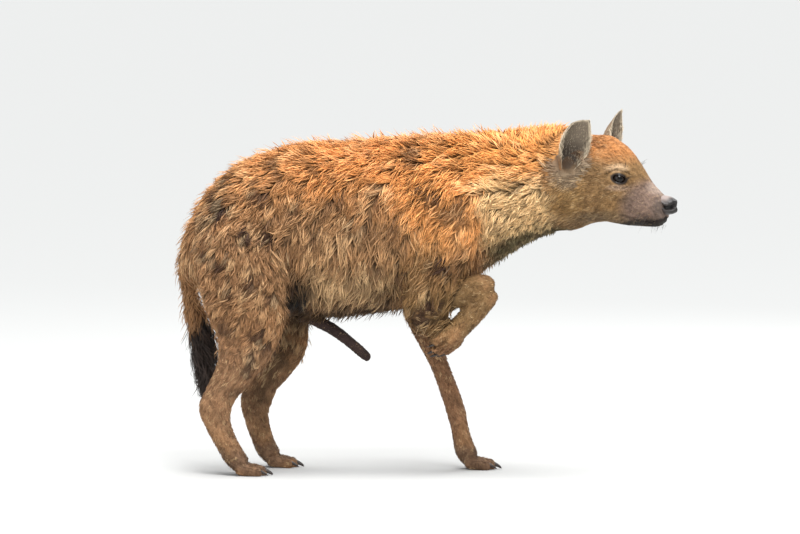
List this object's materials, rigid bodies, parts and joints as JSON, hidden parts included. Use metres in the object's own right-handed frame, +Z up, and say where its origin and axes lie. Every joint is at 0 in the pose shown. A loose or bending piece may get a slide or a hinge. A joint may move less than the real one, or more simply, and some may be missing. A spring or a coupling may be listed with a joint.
{
  "type": "spotted hyena, life-size museum model",
  "caption": "Life-size spotted hyena walking with one forepaw lifted, head turned to its right, sloping shaggy back and dark tail brush.",
  "frame": {"origin": "middle of the whole animal's box, at floor level under the soles", "axes": "+X towards the head, along the body; +Y to the animal's left; +Z up"},
  "size_m": [1.174, 0.3276, 0.8505],
  "materials": {
    "eye": "dark brown, wet and glossy",
    "nose_skin": "black, fine pebbled, moist",
    "face_coat": "short fur, grey-brown muzzle, orange-brown forehead",
    "ear_coat": "grey thin fur, darker in the cup",
    "mane_coat": "long wavy cream to orange hair",
    "body_coat": "long damp orange-tan hair with faint dark spots",
    "bare_skin": "bare dark skin, fine creases",
    "dark_coat": "long black-brown hair",
    "leg_coat": "short reddish brown fur with dark spots",
    "foot_coat": "short brown fur, dark claws and pads",
    "claw": "dark horn, worn blunt"
  },
  "bodies": {
    "root": {"eye_right": "eye", "eye_left": "eye", "nose": "nose_skin", "head": "face_coat", "ear_right": "ear_coat", "ear_left": "ear_coat", "neck": "mane_coat", "torso": "body_coat", "sheath": "bare_skin", "tail_root": "body_coat", "tail_brush": "dark_coat", "fore_right_upper": "leg_coat", "fore_left_upper": "leg_coat", "hind_right_upper": "leg_coat", "hind_left_upper": "leg_coat", "fore_right_lower": "leg_coat", "fore_left_lower": "leg_coat", "hind_right_lower": "leg_coat", "hind_left_lower": "leg_coat", "fore_right_foot": "foot_coat", "fore_left_foot": "foot_coat", "hind_right_foot": "foot_coat", "hind_left_foot": "foot_coat"}
  },
  "joints": []
}
